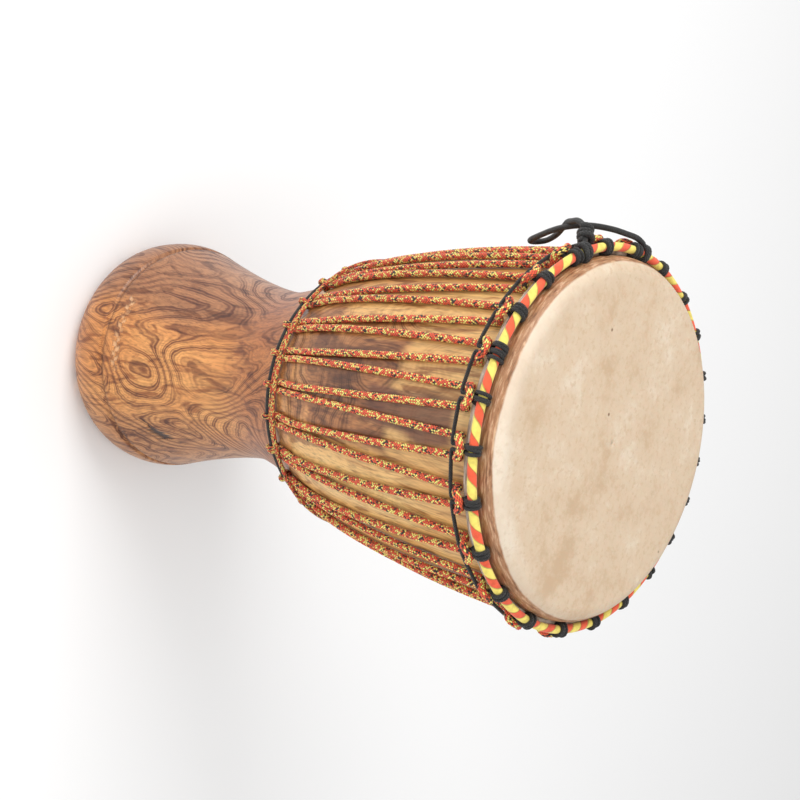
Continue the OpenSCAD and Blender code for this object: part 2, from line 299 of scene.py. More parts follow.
RED, YELLOW, BROWN, DARK = "F25C34", "FFE97C", "9C4C24", "35221A"
rope_braid = braid_material(
    "Polyester rope, braided in red, yellow and black",
    [RED, YELLOW, RED, RED, RED, DARK, YELLOW, RED],
    [RED, YELLOW, DARK, YELLOW, RED, YELLOW, RED, BROWN],
    0.16, Roughness=0.6, Sheen_Weight=0.1)
loop_braid = braid_material(
    "Black nylon cord, braided",
    ["1A1917", "24221F", "141312", "201E1C", "1A1917", "2A2825"],
    ["1C1B19", "151413", "26241F", "1A1917", "201E1C", "141312"],
    0.12, Roughness=0.5, Sheen_Weight=0.1)

# %% [markdown]
# ## The carry cord
# A loop of black cord is tied to the crown ring so that the drum can be hung up. It is limp, so it
# leans on the ropes, doubles back on itself and ends in a small knot beside the second hitch.

# %% Make the carry cord and its knot
CARRY = 4.2 * MM
CARRY_TUBE = CARRY / 2 - 0.1 * MM  # the strands stand out from it by the rest
KNOT_TURNS, KNOT_STEPS = 3, 60
carry_points = [
    (-138.5, 8, 0), (-141, 1, -1), (-141.5, -9, -3), (-142, -20, -8), (-141.5, -30, -16),
    (-140, -35, -26), (-138, -34, -39), (-136, -28, -53), (-133.5, -19, -69), (-132, -10, -82),
    (-131.5, -4, -87), (-132.5, 2, -86), (-134.5, 3, -78), (-137.5, -6, -64), (-140.5, -19, -50),
    (-142.5, -31, -38), (-141.5, -41, -27), (-141, -47, -18), (-137.5, -50.5, -10.5),
    (-131, -51.5, -6.5), (-126.5, -54.5, -4), (-123.4, -57.4, -2.6),
]
carry_points = np.array(carry_points) * MM + (0, 0, CROWN_Z)
carry_line = smooth(carry_points)
carry_cord = cord_piece("carry_cord_braided", [carry_line], CARRY_TUBE, 0.8 * MM, 0.15 * MM, 12, loop_braid)
knot_at = carry_points[19]
knot_way = carry_points[20] - carry_points[18]
knot_way /= np.linalg.norm(knot_way)
knot_side = np.cross(knot_way, (0, 0, 1))
knot_side /= np.linalg.norm(knot_side)
knot_up = np.cross(knot_side, knot_way)
knot_line = []
for i in range(KNOT_STEPS + 1):
    a = i / KNOT_STEPS * KNOT_TURNS * math.tau
    reach = CARRY * (0.93 + 0.1 * math.sin(a * 0.5 + 1))
    knot_line.append(knot_at + reach * (math.cos(a) * knot_side + math.sin(a) * knot_up)
                     + knot_way * CARRY * (i / KNOT_STEPS - 0.5) * 2.6)
carry_knot = cord_piece("carry_knot_tied", [knot_line], CARRY_TUBE, 0.8 * MM, 0.15 * MM, 12, loop_braid)
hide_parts("carry_cord")
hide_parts("carry_knot")
print("carry cord is", round(length_of(carry_line), 3), "m long")

# %% [markdown]
# ## The carved shell
# The shell is one piece of wood, turned roughly and finished by hand, so its outline is a set of
# flowing curves and its surface is very slightly uneven. The outline below is the frame's own. It is
# swept round the axis as a mesh, because that keeps the carved groove and the edge crisp.

# %% Outline of the wood
def bezier(a, b, c, d, steps):
    t = np.linspace(0, 1, steps + 1)[:, None]
    a, b, c, d = (np.array(p, float) for p in (a, b, c, d))
    return (1 - t) ** 3 * a + 3 * t * (1 - t) ** 2 * b + 3 * t * t * (1 - t) * c + t ** 3 * d


SKIN_T, SKIN_GAP = 1.0, 0.1
RING_STAND = 6  # from the wood to the middle of the waist ring's bar
FOOT_R, GROOVE_R, GROOVE_Z = 87.5, 97, 48
STEM_R, STEM_Z, THROAT_R = 70.8, 176, 52
collar_r = HOOP_R / MM - HOOP_ROD / MM - SKIN_T / 2
crown_r, crown_z, waist_z = CROWN_R / MM, CROWN_Z / MM, WAIST_Z / MM
waist_r = WAIST_R / MM - RING_STAND
lip_z = crown_z + 2
wood_top_r = collar_r - SKIN_T - SKIN_GAP
edge_w, edge_h = 11.0, SKIN_TOP / MM - SKIN_T - SKIN_GAP - lip_z
bowl = bezier((waist_r, waist_z), (waist_r + 19, waist_z + 30), (collar_r - 3.5, lip_z - 100),
              (wood_top_r, lip_z), 34)
foot_end = bezier((FOOT_R, 0), (GROOVE_R + 6, 12), (GROOVE_R + 3.8, 38), (GROOVE_R, GROOVE_Z), 26)
foot_flare = bezier((GROOVE_R, GROOVE_Z), (GROOVE_R - 11, GROOVE_Z + 37), (STEM_R, STEM_Z - 36),
                    (STEM_R, STEM_Z), 26)
stem = bezier((STEM_R, STEM_Z), (STEM_R, STEM_Z + 20), (82, waist_z - 30), (waist_r, waist_z), 16)
turn = np.radians(np.arange(10, 91, 10))[:, None]
bearing = np.hstack([wood_top_r - edge_w + edge_w * np.cos(turn), lip_z + edge_h * np.sin(turn)])
inner_r = wood_top_r - 13
bowl_hollow = bezier((inner_r, lip_z), (inner_r - 6, lip_z - 160), (78, 250), (THROAT_R, 235), 20)
foot_hollow = bezier((THROAT_R, 180), (THROAT_R, 120), (72, 70), (74, 0), 16)


def wood_r(z):
    return np.interp(z, bowl[:, 1], bowl[:, 0])


# %% Sweep it round the axis
def swept(name, outline, sides, wobble=None, closed=True):
    """A mesh swept round the axis, from (radius, height) pairs in millimetres.

    sides is how many steps go round, or the angles of the steps themselves.
    """
    outline = np.array(outline, float)
    angles = np.linspace(0, math.tau, sides, endpoint=False) if np.isscalar(sides) else np.array(sides)
    sides = len(angles)
    radius = outline[:, 0][:, None] + (wobble(angles[None, :], outline[:, 1][:, None]) if wobble else 0)
    co = np.stack([radius * np.cos(angles), radius * np.sin(angles),
                   np.broadcast_to(outline[:, 1][:, None], radius.shape)], axis=-1) * MM
    rows = len(outline)
    j, i = np.meshgrid(np.arange(rows if closed else rows - 1), np.arange(sides), indexing="ij")
    j2, i2 = (j + 1) % rows, (i + 1) % sides
    faces = np.stack([j * sides + i, j * sides + i2, j2 * sides + i2, j2 * sides + i], axis=-1)
    mesh = bpy.data.meshes.new(name)
    mesh.from_pydata(co.reshape(-1, 3).tolist(), [], faces.reshape(-1, 4).tolist())
    mesh.polygons.foreach_set("use_smooth", [True] * len(mesh.polygons))
    piece = bpy.data.objects.new(name, mesh)
    bpy.context.scene.collection.objects.link(piece)
    return piece


# Each chip's angle round the foot, its height and its lean: two rows of eight make the zigzag
CHIPS = [(-114 + 5 * i, 59.8, 40) for i in range(8)] + [(-111.5 + 5 * i, 62.6, -40) for i in range(8)]
CHIP_R = 93


def chip_depth(angle, z):
    """How deep the zigzag's knife cuts go at a place: each is a leaning diamond, 7 to 10 mm long."""
    depth = np.zeros(np.broadcast(angle, z).shape)
    for k, (middle, height, lean) in enumerate(CHIPS):
        along = (np.degrees(angle) - middle + 180) % 360 - 180
        along, over = np.radians(along) * CHIP_R, z - height
        c, s = math.cos(math.radians(lean)), math.sin(math.radians(lean))
        a, b = along * c + over * s, over * c - along * s
        cut = 1 - np.abs(a) / (4.2 + 0.8 * math.sin(5 * k)) - np.abs(b) / (2.5 + 0.5 * math.sin(3 * k))
        depth = np.maximum(depth, cut * 2)
    return np.clip(depth, 0, 1)


def crack_depth(angle, z):
    """A drying crack that climbs along the grain for 30 mm and ends where a chip has broken out."""
    share = np.clip(((np.degrees(angle) + 180) % 360 - 180 + 48) / 16.5, 0, 1)
    middle = 78 + 14 * share + 0.9 * np.sin(9 * share) + 0.5 * np.sin(31 * share)
    inside = (share > 0) & (share < 1)
    wide = 0.9 + 22.0 * np.clip(share - 0.35, 0, 0.3) * (1 + 0.4 * np.sin(40 * share))
    return np.clip(1.3 - np.abs(z - middle) / wide, 0, 1) * inside


def carved(angle, z):
    """The groove, the cuts and the slight unevenness that hand tools leave, in millimetres."""
    groove = -1.2 * np.clip(np.sqrt(np.clip(2.6 ** 2 - (z - GROOVE_Z) ** 2, 0, None)) - 1.0, 0, None)
    groove = groove - chip_depth(angle, z) - crack_depth(angle, z)
    uneven = 0.25 * np.sin(3 * angle + z / 60) + 0.15 * np.sin(7 * angle - z / 23)
    free = np.clip((z - 4) / 20, 0, 1) * np.clip((240 - z) / 20, 0, 1)
    return groove * (np.abs(z - 70) < 30) + uneven * free


# Rows are close together where the groove, the chips and the crack are
groove_z = (45.6, 46.2, 46.8, 47.4)
groove_rows = np.array([[np.interp(z, foot_end[:, 1], foot_end[:, 0]), z] for z in groove_z])
fine_rows = np.concatenate([[48.6, 49.2, 49.8, 50.4, 53], np.arange(55.4, 65, 0.4),
                            np.arange(66, 96.5, 0.6)])
fine = np.array([[np.interp(z, foot_flare[:, 1], foot_flare[:, 0]), z] for z in fine_rows])
foot_rows = np.vstack([foot_end[foot_end[:, 1] < 45.4], groove_rows, [[GROOVE_R, GROOVE_Z]], fine,
                       foot_flare[foot_flare[:, 1] > 97]])
outline = np.vstack([foot_rows, stem[1:], bowl[1:], bearing,
                     [[inner_r, lip_z + edge_h]], bowl_hollow, foot_hollow])
# Steps of half a degree where the chips and the crack are, and three times that elsewhere
round_shell = np.radians(np.concatenate([np.arange(-118, -28, 0.5), np.arange(-28, 242, 1.5)]))
shell = swept("shell_carved", outline, round_shell, carved)
print("shell", len(shell.data.polygons), "faces")

# %% [markdown]
# ## Figured wood
# The log is a dense tropical hardwood. Its heartwood is brown with darker growth lines that swirl on
# the foot, and its sapwood, on the bowl, is blond. Cutting a round outline out of a log slices its
# growth rings, so the figure is made the same way: level lines of one slow noise that is stretched
# along the grain, read wherever the surface happens to cut them. Where the noise has a hill, the
# lines close into the swirls that a turner prizes. The carved cuts show fresh, paler wood.

# %% Make the wood
def wood_material():
    made, tree, shader = surface("Oiled hardwood, carved across its rings", Roughness=0.4,
                                 Specular_IOR_Level=0.45, Coat_Weight=0.15, Coat_Roughness=0.25)
    spot = add(tree, "ShaderNodeTexCoord", out="Object")
    x, y, z = add(tree, "ShaderNodeSeparateXYZ", {0: spot}).node.outputs

    def noise(scale, size, detail, seed, distortion=0.0):
        moved = add(tree, "ShaderNodeMapping", {"Vector": spot, "Location": (seed, seed * 0.7, seed * 1.3),
                                                "Scale": scale})
        return add(tree, "ShaderNodeTexNoise", {"Vector": moved, "Scale": size, "Detail": detail,
                                                "Distortion": distortion})

    def math_of(op, a, b=0.0, c=0.0):
        return maths(tree, op, a, b, c)

    def mixed(share, low, high, blend="MIX"):
        return blended(tree, share, low, high, blend)

    # Growth rings: slices of a slow noise, stretched along the grain, so that they close into swirls
    slow = noise((1, 1, 0.55), 11.0, 1.5, 3.1, 0.35)
    ripple = noise((1, 1, 0.5), 60.0, 5.0, 8.4, 0.5)
    place = math_of("MULTIPLY_ADD", ripple, 0.035, slow)
    wide_rings = math_of("SINE", math_of("MULTIPLY", place, math.tau * 25))
    thin_rings = math_of("SINE", math_of("MULTIPLY", place, math.tau * 104))
    rings = math_of("MULTIPLY_ADD", thin_rings, 0.2, math_of("MULTIPLY_ADD", wide_rings, 0.3, 0.5))
    strength = ramp(tree, noise((1, 1, 0.5), 18.0, 4.0, 5.2), [(0.34, 0.35), (0.56, 1.0)])
    lines = ramp(tree, rings, [(0.1, 0.0), (0.5, 0.3), (0.8, 0.85), (1.0, 1.0)])
    figure = math_of("MULTIPLY", lines, strength)

    # Broad clouds of tone, the fibres and the short dark pores along the grain
    cloud = noise((1, 1, 0.4), 14.0, 3.0, 1.7, 0.4)
    mottle = noise((1, 1, 0.3), 55.0, 4.0, 4.4, 0.8)
    fibre = noise((1, 1, 0.05), 600.0, 4.0, 2.2)
    streaks = noise((1, 1, 0.16), 130.0, 5.0, 7.7, 0.7)
    pores = ramp(tree, noise((1, 1, 0.035), 900.0, 1.0, 9.3), [(0.28, 0.55), (0.42, 1.0)])

    # Each tone of wood is a ramp over the clouds, with the rings drawn into it
    honey = ramp(tree, cloud, [(0.3, "B06C3A"), (0.48, "D9924C"), (0.7, "F0B266")])
    honey = mixed(mottle, honey, "D0894E")
    honey = mixed(figure, honey, "70391A")
    mauve = ramp(tree, cloud, [(0.3, "7C4A2C"), (0.5, "A66C46"), (0.7, "C68C5E")])
    mauve = mixed(mottle, mauve, "AC7850")
    mauve = mixed(figure, mauve, "5E3020")
    blond = ramp(tree, cloud, [(0.3, "C98F50"), (0.5, "E0B06C"), (0.72, "F0CB86")])
    blond = mixed(math_of("MULTIPLY", figure, 0.3), blond, "A0683A")
    heart = ramp(tree, mottle, [(0.36, "744420"), (0.5, "AE7240"), (0.64, "DA9E60")])
    heart = mixed(math_of("MULTIPLY", figure, 0.8), heart, "522C14")

    # Round the drum, in radians from the near side towards +X, with a ragged edge
    ragged = noise((1, 1, 0.4), 22.0, 3.0, 6.6)
    side = math_of("ARCTAN2", x, math_of("MULTIPLY", y, -1.0))
    side = math_of("MULTIPLY_ADD", ragged, 0.34, math_of("ADD", side, -0.17))
    height = math_of("MULTIPLY_ADD", ragged, 0.03, math_of("ADD", z, -0.015))

    def patch(middle, half, low, high, soft=0.05):
        """1 inside a patch: an angle, its half width, and the heights it runs between."""
        across = math_of("ABSOLUTE", math_of("SUBTRACT", side, middle))
        across = math_of("MULTIPLY", math_of("SUBTRACT", half, across), 1 / soft)
        over = math_of("MULTIPLY", math_of("SUBTRACT", height, low), 90.0)
        under = math_of("MULTIPLY", math_of("SUBTRACT", high, height), 90.0)
        inside = math_of("MINIMUM", across, math_of("MINIMUM", over, under))
        return ramp(tree, math_of("ADD", inside, 0.5), [(0.0, 0.0), (1.0, 1.0)])

    # The bowl: sapwood, with a broad patch of heartwood over the waist and dark streaks up from it
    tone = mixed(patch(-0.1, 0.40, 0.20, 0.40), blond, heart)
    tone = mixed(patch(-0.62, 0.18, 0.20, 0.32), tone, heart)
    tone = mixed(patch(0.55, 0.4, 0.20, 0.285, 0.2), tone, heart)
    tone = mixed(math_of("MULTIPLY", patch(0.06, 0.11, 0.38, 0.46), 0.9), tone, "74432C")
    tone = mixed(math_of("MULTIPLY", patch(-1.05, 0.32, 0.27, 0.47, 0.15), 0.75), tone, "AC7440")
    tone = mixed(math_of("MULTIPLY", patch(-1.9, 0.55, 0.25, 0.43, 0.2), 0.8), tone, heart)
    tone = mixed(math_of("MULTIPLY", patch(2.3, 0.6, 0.2, 0.36, 0.2), 0.8), tone, heart)
    # The foot: honey-coloured with strong swirls in front, duller and more mauve towards -X
    dull = ramp(tree, math_of("MULTIPLY_ADD", x, -9.0, math_of("MULTIPLY_ADD", ragged, 0.7, -0.1)),
                [(0.35, 0.0), (0.75, 1.0)])
    low_tone = mixed(dull, honey, mauve)
    # Painted shade: the foot is darker towards +X, the side turned away from the key light
    foot_painted_shade = ramp(tree, math_of("MULTIPLY_ADD", x, 14.0, math_of("MULTIPLY_ADD", mottle, 0.5, -0.65)),
                  [(0.2, 0.0), (0.6, 0.6)])
    low_tone = mixed(foot_painted_shade, low_tone, mixed(figure, "B07848", "62341C"))
    stem_share = ramp(tree, z, [(0.15, 0.0), (0.22, 0.75)])
    low_tone = mixed(stem_share, low_tone, mixed(figure, "A8602E", "643012"))
    on_bowl = ramp(tree, math_of("MULTIPLY_ADD", z, 30.0, math_of("MULTIPLY_ADD", ragged, 0.6, -7.4)),
                   [(0.2, 0.0), (0.7, 1.0)])
    tone = mixed(on_bowl, low_tone, tone)
    tone = mixed(0.85, tone, ramp(tree, fibre, [(0.3, 0.66), (0.6, 1.0)]), "MULTIPLY")
    tone = mixed(0.7, tone, pores, "MULTIPLY")
    tone = mixed(1.0, tone, ramp(tree, streaks, [(0.34, "BCA694"), (0.48, "FFFFFF")]), "MULTIPLY")
    # Fresh, paler wood in the carved cuts; dust and painted shade in the crack, and painted shade along the
    # rims of the cuts and in the groove
    deep = add(tree, "ShaderNodeAttribute", out="Fac", attribute_name="cut")
    tone = mixed(math_of("MULTIPLY", deep, ramp(tree, mottle, [(0.42, 0.15), (0.58, 0.7)])), tone, "D8AC80")
    for name, depth in (("crack", 1.0), ("groove", 0.5)):
        painted_recess_shade = add(tree, "ShaderNodeAttribute", out="Fac", attribute_name=name)
        tone = mixed(math_of("MULTIPLY", painted_recess_shade, depth), tone, "351C10")
    tree.links.new(tone, shader.inputs["Base Color"])
    tree.links.new(ramp(tree, figure, [(0.0, 0.36), (1.0, 0.5)]), shader.inputs["Roughness"])
    relief = math_of("MULTIPLY_ADD", figure, -0.3, fibre)
    bump = add(tree, "ShaderNodeBump", {"Strength": 0.4, "Distance": 0.3 * MM, "Height": relief})
    tree.links.new(bump, shader.inputs["Normal"])
    return made


place = np.array([v.co for v in shell.data.vertices]) / MM
around = np.arctan2(place[:, 1], place[:, 0]) % math.tau
radius = np.hypot(place[:, 0], place[:, 1])
outside = (radius > 80) & (place[:, 2] > 52) & (place[:, 2] < 98)
outside |= (radius > 80) & (np.abs(place[:, 2] - GROOVE_Z) < 4)
cuts = chip_depth(around, place[:, 2])
# Painted shade: the rims of the chips are darkened through the crack attribute, and the groove through the
# groove attribute
edges = np.clip(1 - np.abs(cuts - 0.3) / 0.25, 0, 1)
for name, depth in (("cut", cuts), ("crack", np.maximum(crack_depth(around, place[:, 2]), 0.6 * edges)),
                    ("groove", np.clip(1.3 - np.abs(place[:, 2] - 49) / 1.5, 0, 1))):
    values = shell.data.attributes.new(name, "FLOAT", "POINT")
    values.data.foreach_set("value", np.clip(depth, 0, 1) * outside)
wood = wood_material()
shell.data.materials.append(wood)
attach(shell, "root")
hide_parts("shell")

# %% [markdown]
# ## The goat skin
# The skin is soaked, laid over the mouth, turned up round a steel hoop and pulled down. It dries hard
# and slightly see-through, pale on top and browner down the side where it is stretched and rubbed.

# %% Make the skin
turn = np.radians(np.linspace(0, 90, 19))[:, None]
reach = collar_r - (wood_top_r - edge_w)
top_z = SKIN_TOP / MM
over = np.hstack([collar_r - reach + reach * np.cos(turn), lip_z + (top_z - lip_z) * np.sin(turn)])
under = np.hstack([collar_r - reach + (reach - SKIN_T) * np.cos(turn),
                   lip_z + (top_z - SKIN_T - lip_z) * np.sin(turn)])
flat = [[r, top_z] for r in (100, 80, 60, 40, 20, 4, 0.01)]
hoop_z = HOOP_Z / MM
skirt = [[collar_r, z] for z in np.linspace(hoop_z, lip_z - 1, 8)]
back = [[r, top_z - SKIN_T] for r in (0.01, 40, 80)]
skin_outline = np.vstack([skirt, over, flat, back, under[::-1], [[collar_r - SKIN_T, hoop_z]]])


def pleats(angle, z):
    """Small pleats low on the skirt, where the skin is gathered round the hoop, in millimetres."""
    low = np.clip((crown_z + 6 - z) / 12, 0, 1)
    return low * (0.12 * np.sin(97 * angle + 2 * np.sin(5 * angle)) + 0.1 * np.sin(41 * angle))


skin = swept("drum_skin_stretched", skin_outline, 384, pleats)
fold_turn = np.radians(np.arange(0, 360, 15))
fold_r = HOOP_ROD / MM + SKIN_T
fold_outline = [[HOOP_R / MM + fold_r * math.cos(a), hoop_z + fold_r * math.sin(a)] for a in fold_turn]


def gathers(angle, z):
    """The uneven folds where the skin is turned up round the hoop, in millimetres."""
    return 0.22 * np.sin(57 * angle + 3 * np.sin(11 * angle)) * np.sin(29 * angle)


fold = swept("skin_fold", fold_outline, 480, gathers)


def skin_material(name, top, side, low):
    made, tree, shader = surface(name, Roughness=0.5, Subsurface_Weight=0.1, Subsurface_Scale=0.003)
    spot = add(tree, "ShaderNodeTexCoord", out="Object")
    x, y, z = add(tree, "ShaderNodeSeparateXYZ", {0: spot}).node.outputs

    def noise(size, detail, rough=0.5):
        return add(tree, "ShaderNodeTexNoise", {"Vector": spot, "Scale": size, "Detail": detail,
                                                "Roughness": rough})

    def mixed(share, a, b):
        return blended(tree, share, a, b)

    flat = ramp(tree, noise(14.0, 8.0, 0.72), [(0.36, top[0]), (0.5, top[1]), (0.64, top[2])])
    speckle = ramp(tree, noise(230.0, 4.0, 0.7), [(0.34, 0.6), (0.5, 0.0)])
    flat = mixed(speckle, flat, top[0])
    # Hair roots: a few small dark flecks, each in its own cell
    cells = {"Vector": spot, "Scale": 55.0, "Randomness": 1.0}
    fleck = add(tree, "ShaderNodeTexVoronoi", cells)
    cell = add(tree, "ShaderNodeTexVoronoi", cells, "Color")
    pick = add(tree, "ShaderNodeSeparateColor", {0: cell}).node.outputs[0]
    pick = maths(tree, "GREATER_THAN", pick, 0.84)
    dot = maths(tree, "MULTIPLY", ramp(tree, fleck, [(0.03, 0.9), (0.09, 0.0)]), pick)
    flat = mixed(dot, flat, "6E5138")
    # Down the side it is browner, with a ragged edge where the maker's razor stopped
    round_it = maths(tree, "ARCTAN2", y, x)
    band = add(tree, "ShaderNodeCombineXYZ", {"X": round_it, "Y": maths(tree, "MULTIPLY", z, 60.0)})
    folds = add(tree, "ShaderNodeTexNoise", {"Vector": band, "Scale": 9.0, "Detail": 6.0, "Roughness": 0.65,
                                             "Distortion": 0.4})
    skirt = ramp(tree, folds, [(0.34, side[0]), (0.5, side[1]), (0.64, side[2])])
    # Painted highlight: the rim over the player's edge is painted paler on the near side (-Y) only, where
    # light catches it; part of it is the skin's own paler tone where it is stretched over the edge
    rim_highlight = maths(tree, "MULTIPLY", y, y)
    rim_highlight = maths(tree, "MULTIPLY_ADD", x, x, rim_highlight)
    rim_highlight = ramp(tree, maths(tree, "MULTIPLY", rim_highlight, 50.0),
                  [(0.57, 0.0), (0.7, 1.0)])
    lit_near_side = ramp(tree, maths(tree, "MULTIPLY_ADD", y, -4.0, 0.35),
                  [(0.4, 0.0), (0.8, 0.45)])
    rim_highlight = maths(tree, "MULTIPLY", rim_highlight, lit_near_side)
    flat = mixed(rim_highlight, flat, "DCCEBC")
    ragged = maths(tree, "MULTIPLY_ADD", noise(20.0, 6.0, 0.6), 0.004, z)
    down = add(tree, "ShaderNodeMapRange", {"Value": ragged, "From Min": low[0], "From Max": low[1]})
    tone = mixed(down, skirt, flat)
    grain = noise(900.0, 4.0, 0.7)
    bump = add(tree, "ShaderNodeBump", {"Strength": 0.3, "Distance": 0.15 * MM, "Height": grain})
    tree.links.new(tone, shader.inputs["Base Color"])
    tree.links.new(bump, shader.inputs["Normal"])
    return made


SHAVED_TO = (CROWN_Z + 0.0108, CROWN_Z + 0.0117)
goat = skin_material("Goat skin, shaved and dried", ("BEA283", "CCB59A", "D6C5AF"),
                     ("764E30", "A27450", "C8A280"), SHAVED_TO)
fold_skin = skin_material("Goat skin, dried hard round the hoop", ("6E5C4C", "A89684", "CFC4B4"),
                          ("6E5C4C", "A89684", "CFC4B4"), (0.6, 0.7))
skin.data.materials.append(goat)
fold.data.materials.append(fold_skin)
for piece in (skin, fold):
    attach(piece, "root")
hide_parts("drum_skin")

# %% [markdown]
# ## Cloth on the crown ring
# Two strips of cotton, one yellow and one red, are wound side by side round the crown ring so that
# the steel doesn't rub the skin. Together they make one slanting stripe for each turn.

# %% Wind the cloth
def ring_line(radius, height, count=720):
    a = np.linspace(0, math.tau, count, endpoint=False)
    return np.stack([radius * np.cos(a), radius * np.sin(a), np.full(count, height)], axis=-1)


TURNS, CELLS_A_TURN = 43, 7
CLOTH_R, TAPE_R = 3.1, 2.3  # from the middle of the bar to the face of the cloth and of the tape
cloth_step = math.tau * CROWN_R / (TURNS * CELLS_A_TURN * 2)


def cloth_material():
    made, tree, shader = surface("Cotton strips, plain weave, red over yellow", Roughness=0.8,
                                 Sheen_Weight=0.2)
    place = add(tree, "ShaderNodeAttribute", out="Vector", attribute_name="braid")
    east, north, cells = add(tree, "ShaderNodeSeparateXYZ", {0: place}).node.outputs
    turn = maths(tree, "ARCTAN2", north, east)
    turn = maths(tree, "MULTIPLY", turn, 1 / math.tau)
    wound = maths(tree, "MULTIPLY_ADD", cells, 1 / CELLS_A_TURN, turn)
    spot = add(tree, "ShaderNodeTexCoord", out="Object")
    waver = add(tree, "ShaderNodeTexNoise", {"Vector": spot, "Scale": 40.0, "Detail": 1.0})
    wound = maths(tree, "MULTIPLY_ADD", waver, 0.22, wound)
    share = maths(tree, "FRACT", wound)
    tone = ramp(tree, share, [(0.0, "E85A35"), (0.45, "EED968")], "CONSTANT")
    lift = ramp(tree, share, [(0.0, 1.0), (0.43, 0.8), (0.48, 0.0), (0.56, 0.5), (0.96, 0.35),
                              (1.0, 0.9)], "LINEAR")
    # Painted shadow: a dark line along each strip's edge, where it overlaps the next
    shade = ramp(tree, share, [(0.0, 0.6), (0.05, 1.0), (0.43, 1.0), (0.47, 0.5), (0.53, 1.0), (0.94, 1.0),
                               (1.0, 0.5)], "LINEAR")
    worn = add(tree, "ShaderNodeTexNoise", {"Vector": spot, "Scale": 260.0, "Detail": 4.0})
    tone = blended(tree, 1.0, tone, shade, "MULTIPLY")
    tone = blended(tree, 1.0, tone, ramp(tree, worn, [(0.3, 0.8), (0.6, 1.0)]), "MULTIPLY")
    weave = add(tree, "ShaderNodeTexNoise", {"Vector": spot, "Scale": 1500.0, "Detail": 2.0})
    height = maths(tree, "MULTIPLY_ADD", weave, 0.25, lift)
    bump = add(tree, "ShaderNodeBump", {"Strength": 0.8, "Distance": 0.4 * MM, "Height": height})
    tree.links.new(tone, shader.inputs["Base Color"])
    tree.links.new(bump, shader.inputs["Normal"])
    return made


cloth = cloth_material()
wrap = cord_piece("crown_cloth_wound", [ring_line(CROWN_R, CROWN_Z)], CLOTH_R * MM, cloth_step, 0.0, 24,
                  cloth, True)
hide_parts("crown_wrap_yellow", "crown_wrap_red")
tape, tape_tree, tape_shader = surface("Black cotton tape", Roughness=0.85, Sheen_Weight=0.1)
spot = add(tape_tree, "ShaderNodeTexCoord", out="Object")
worn = add(tape_tree, "ShaderNodeTexNoise", {"Vector": spot, "Scale": 500.0, "Detail": 3.0})
tape_tone = ramp(tape_tree, worn, [(0.3, "1B1816"), (0.7, "33302C")])
tape_tree.links.new(tape_tone, tape_shader.inputs["Base Color"])
tape_bump = add(tape_tree, "ShaderNodeBump", {"Strength": 0.5, "Distance": 0.15 * MM, "Height": worn})
tape_tree.links.new(tape_bump, tape_shader.inputs["Normal"])
waist_tape = cord_piece("waist_tape_wound", [ring_line(WAIST_R, WAIST_Z)], TAPE_R * MM, 2 * MM, 0.0, 16,
                        tape, True)
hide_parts("waist_wrap")

# %% [markdown]
# ## The black loop cord
# One cord is hitched round the crown ring again and again. Each hitch is three close turns, or five
# on one of them, and from each one the cord drops, runs straight to the next and climbs back up to
# it: those are the loops that the tension rope pulls on.

# %% Where the hitches are
HITCHES = 24
WIDE_HITCH = 6


def hitch_angle(i):
    even = 164 + i * 360 / HITCHES
    return even + 2.3 * math.sin(math.radians(even + 7)) + 3.1 * math.sin(math.radians(2 * even + 27))


def waist_angle(i):
    return (hitch_angle(i) + hitch_angle(i + 1)) / 2 + 2


def at(radius, angle, height, side=0.0):
    """A point in metres: side millimetres along the ring from an angle in degrees."""
    a = math.radians(angle) + side / radius
    return (radius * math.cos(a) * MM, radius * math.sin(a) * MM, height * MM)


# %% Tie the loop cord
LOOP_D = 2.6
hitch_mid = CLOTH_R + LOOP_D / 2
leg_r = HOOP_R / MM + fold_r + LOOP_D / 2 + 0.1
leg_side = LOOP_D / 2 + 0.3
span_z = crown_z - 17


def hitch_turns(centre_r, centre_z, angle, mid, width, turns, start=-100.0):
    """Turns of cord round a ring, from one side of the hitch to the other."""
    steps = int(turns * 14)
    out = []
    for k in range(steps + 1):
        share = k / steps
        a = math.radians(start) + share * turns * math.tau
        ripple = mid + 0.3 * math.sin(2.3 * a + angle) - 0.25 * max(0, math.sin(a))
        lean = 0.7 * math.sin(0.5 * a + 3 * angle)
        out.append(at(centre_r + ripple * math.cos(a), angle, centre_z + ripple * math.sin(a),
                      (share - 0.5) * width + lean))
    return out


loop_line = []
for i in range(HITCHES):
    here, there = hitch_angle(i), hitch_angle(i + 1)
    turns = 5 if i == WIDE_HITCH else 3
    loop_line += hitch_turns(crown_r, crown_z, here, hitch_mid, (turns - 0.4) * LOOP_D, turns)
    loop_line += [at(leg_r, here, crown_z - 8, leg_side), at(leg_r, here, span_z + 3, leg_side + 0.4),
                  at(leg_r, here, span_z + 0.3, leg_side + 2.4),
                  at(leg_r, there, span_z + 0.3, -leg_side - 2.4),
                  at(leg_r, there, span_z + 3, -leg_side - 0.4), at(leg_r, there, crown_z - 8, -leg_side)]
loops = cord_piece("crown_cord_looped", [smooth(loop_line, 3, True)], (LOOP_D / 2 - 0.1) * MM, 0.9 * MM,
                   0.16 * MM, 12, loop_braid, True)
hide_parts("crown_hitches", "crown_loops")
carry_mid, carry_wide = CLOTH_R + 0.05 + CARRY / MM / 2, CARRY / MM
carry_lines = [hitch_turns(crown_r, crown_z, hitch_angle(i) - 4, carry_mid, carry_wide, 2) for i in (1, 3)]
carry_ties = cord_piece("carry_hitches_tied", [smooth(line, 3) for line in carry_lines], CARRY_TUBE,
                        0.9 * MM, 0.16 * MM, 12, loop_braid)
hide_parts("carry_hitches")

# %% [markdown]
# ## The tension rope
# One rope zigzags round the whole drum. It turns over each hitch at the crown, tucks in behind the
# black loops on both sides, runs down the bowl, and meets its neighbour just above the waist ring.

